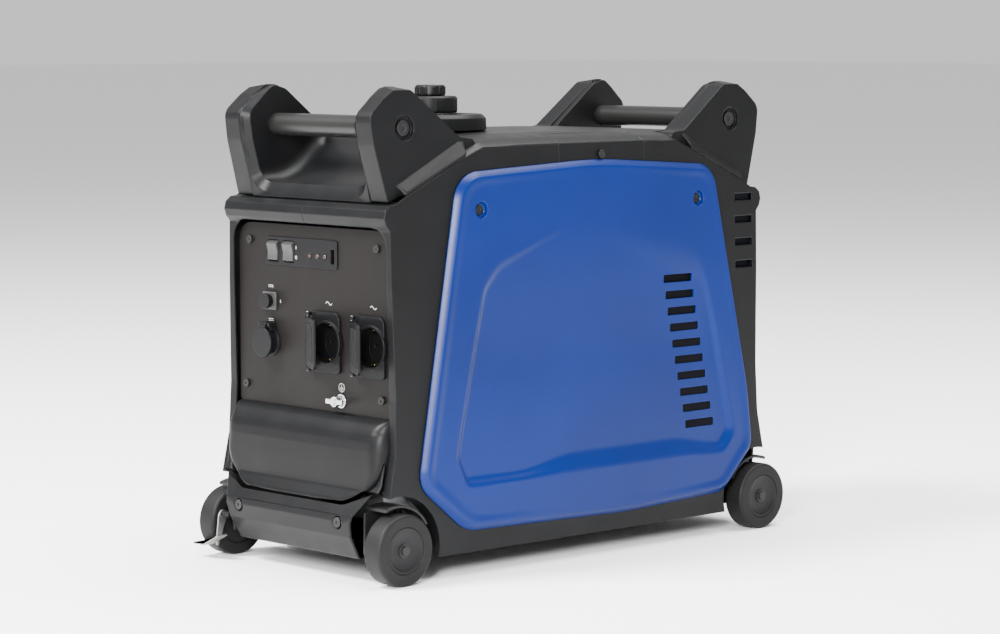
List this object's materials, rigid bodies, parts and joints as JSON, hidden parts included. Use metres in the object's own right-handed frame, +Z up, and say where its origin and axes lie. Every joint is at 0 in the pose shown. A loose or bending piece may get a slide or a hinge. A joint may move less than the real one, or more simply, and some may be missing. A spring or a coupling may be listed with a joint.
{
  "type": "inverter generator",
  "caption": "Enclosed portable inverter generator with bar handles, screw fuel cap, small wheels, side service covers and a front panel with sockets and switches.",
  "frame": {"origin": "on the ground, midway between the four wheels: X = 0 is the middle of the width, Y = 0 is halfway between the front and rear axles, Z = 0 is the ground under the tyres", "axes": "+Z up; -Y is the side with the control panel (front), +Y the exhaust end (rear); +X is the side away from the starter grip, to the right of somebody who looks at the panel"},
  "size_m": [0.2992, 0.6275, 0.5111],
  "materials": {
    "black_plastic": "moulded, fine grain",
    "blue_plastic": "moulded, satin",
    "tyre_rubber": "matt",
    "hub_plastic": "moulded",
    "black_steel": "black paint",
    "bar_steel": "satin black powder coat",
    "bright_steel": "zinc plated",
    "plated_steel": "pressed, zinc plated",
    "panel_plate": "satin",
    "switch_plastic": "satin",
    "lamp_lens": "clear",
    "grey_plastic": "moulded",
    "contact_brass": "stamped",
    "cast_alloy": "die cast",
    "shaft_steel": "ground",
    "copper_winding": "enamelled copper wire",
    "plug_ceramic": "glazed",
    "muffler_steel": "heat-dulled",
    "mount_rubber": "matt"
  },
  "bodies": {
    "set": {"left_shell": "black_plastic", "right_shell": "black_plastic", "front_handle_frame": "black_plastic", "rear_handle_frame": "black_plastic", "top_deck": "black_plastic", "handle_bars": "bar_steel", "handle_bolts": "black_steel", "front_bumper": "black_plastic", "rear_bumper": "black_plastic", "front_lower_cover": "black_plastic", "rear_cover": "black_plastic", "left_side_cover": "blue_plastic", "right_side_cover": "blue_plastic", "top_hatch": "black_plastic", "cover_screws": "black_steel", "fuel_collar": "black_plastic", "base_frame": "black_steel", "wheel_bolts": "black_steel", "brake_pin": "black_steel", "control_panel": "panel_plate", "panel_screws": "black_steel", "switch_bezel": "black_plastic", "indicator_lights": "lamp_lens", "breaker_body": "grey_plastic", "dc_socket": "black_plastic", "ac_sockets": "black_plastic", "earth_clips": "contact_brass", "flap_pins": "bright_steel", "ground_stud": "bright_steel", "recoil_housing": "black_steel", "engine_block": "cast_alloy", "alternator_stator": "copper_winding", "spark_plug": "plug_ceramic", "muffler": "muffler_steel", "air_filter": "black_plastic", "fuel_tank": "black_plastic", "inverter_module": "cast_alloy", "engine_mounts": "mount_rubber"},
    "wheel_front_left": {"tyre_front_left": "tyre_rubber", "hub_front_left": "hub_plastic"},
    "wheel_front_right": {"tyre_front_right": "tyre_rubber", "hub_front_right": "hub_plastic"},
    "wheel_rear_left": {"tyre_rear_left": "tyre_rubber", "hub_rear_left": "hub_plastic"},
    "wheel_rear_right": {"tyre_rear_right": "tyre_rubber", "hub_rear_right": "hub_plastic"},
    "wheel_brake": {"foot_brake": "plated_steel"},
    "filler_cap": {"fuel_cap": "black_plastic"},
    "cap_vent": {"vent_knob": "black_plastic"},
    "economy_switch": {"economy_rocker": "switch_plastic"},
    "engine_switch": {"engine_rocker": "switch_plastic"},
    "reset_button": {"breaker_button": "black_plastic"},
    "dc_lid": {"dc_socket_cap": "black_plastic"},
    "left_flap": {"socket_flap_left": "black_plastic"},
    "right_flap": {"socket_flap_right": "black_plastic"},
    "terminal_nut": {"ground_nut": "bright_steel"},
    "crank_and_rotor": {"crankshaft": "shaft_steel", "alternator_rotor": "black_steel"},
    "starter_grip": {"recoil_grip": "black_plastic"},
    "starter_pulley": {"recoil_pulley": "cast_alloy"}
  },
  "joints": [
    {"name": "wheel_front_left_turn", "type": "hinge", "parent": "set", "child": "wheel_front_left", "pos_m": [-0.1369, -0.272, 0.0375], "axis": [1, 0, 0], "continuous": true},
    {"name": "wheel_front_right_turn", "type": "hinge", "parent": "set", "child": "wheel_front_right", "pos_m": [0.1369, -0.272, 0.0375], "axis": [1, 0, 0], "continuous": true},
    {"name": "wheel_rear_left_turn", "type": "hinge", "parent": "set", "child": "wheel_rear_left", "pos_m": [-0.1369, 0.272, 0.0375], "axis": [1, 0, 0], "continuous": true},
    {"name": "wheel_rear_right_turn", "type": "hinge", "parent": "set", "child": "wheel_rear_right", "pos_m": [0.1369, 0.272, 0.0375], "axis": [1, 0, 0], "continuous": true},
    {"name": "wheel_brake_lift", "type": "hinge", "parent": "set", "child": "wheel_brake", "pos_m": [-0.122, -0.297, 0.048], "axis": [-1, 0, 0], "range_deg": [0, 35]},
    {"name": "fuel_cap_turn", "type": "hinge", "parent": "set", "child": "filler_cap", "pos_m": [0, -0.104, 0.488], "axis": [0, 0, 1], "range_deg": [0, 90]},
    {"name": "vent_knob_turn", "type": "hinge", "parent": "filler_cap", "child": "cap_vent", "pos_m": [0, -0.104, 0.503], "axis": [0, 0, 1], "range_deg": [0, 90]},
    {"name": "economy_rocker_tip", "type": "hinge", "parent": "set", "child": "economy_switch", "pos_m": [-0.0635, -0.267, 0.335], "axis": [1, 0, 0], "range_deg": [-12, 0]},
    {"name": "engine_rocker_tip", "type": "hinge", "parent": "set", "child": "engine_switch", "pos_m": [-0.038, -0.267, 0.335], "axis": [1, 0, 0], "range_deg": [-12, 0]},
    {"name": "reset_button_press", "type": "slide", "parent": "set", "child": "reset_button", "axis": [0, 1, 0], "range_m": [0, 0.0025], "stiffness_N_per_m": 200},
    {"name": "dc_lid_lift", "type": "hinge", "parent": "set", "child": "dc_lid", "pos_m": [-0.07, -0.2785, 0.256], "axis": [-1, 0, 0], "range_deg": [0, 120]},
    {"name": "left_flap_swing", "type": "hinge", "parent": "set", "child": "left_flap", "pos_m": [-0.0004, -0.277, 0.243], "axis": [0, 0, 1], "range_deg": [-65, 30]},
    {"name": "right_flap_swing", "type": "hinge", "parent": "set", "child": "right_flap", "pos_m": [0.0706, -0.277, 0.243], "axis": [0, 0, 1], "range_deg": [-65, 30]},
    {"name": "ground_nut_turn", "type": "hinge", "parent": "set", "child": "terminal_nut", "pos_m": [0.046, -0.2785, 0.183], "axis": [0, 1, 0], "continuous": true},
    {"name": "crankshaft_turn", "type": "hinge", "parent": "set", "child": "crank_and_rotor", "pos_m": [0, 0.02, 0.176], "axis": [1, 0, 0], "continuous": true},
    {"name": "starter_grip_pull", "type": "slide", "parent": "set", "child": "starter_grip", "axis": [-1, 0, 0], "range_m": [0, 0.5], "stiffness_N_per_m": 12},
    {"name": "starter_pulley_turn", "type": "hinge", "parent": "set", "child": "starter_pulley", "pos_m": [-0.109, 0.02, 0.176], "axis": [1, 0, 0], "range_deg": [0, 760]}
  ],
  "couplings": [
    {"joint": "starter_pulley_turn", "follows": "starter_grip_pull", "rad_per_m": 26.316}
  ]
}
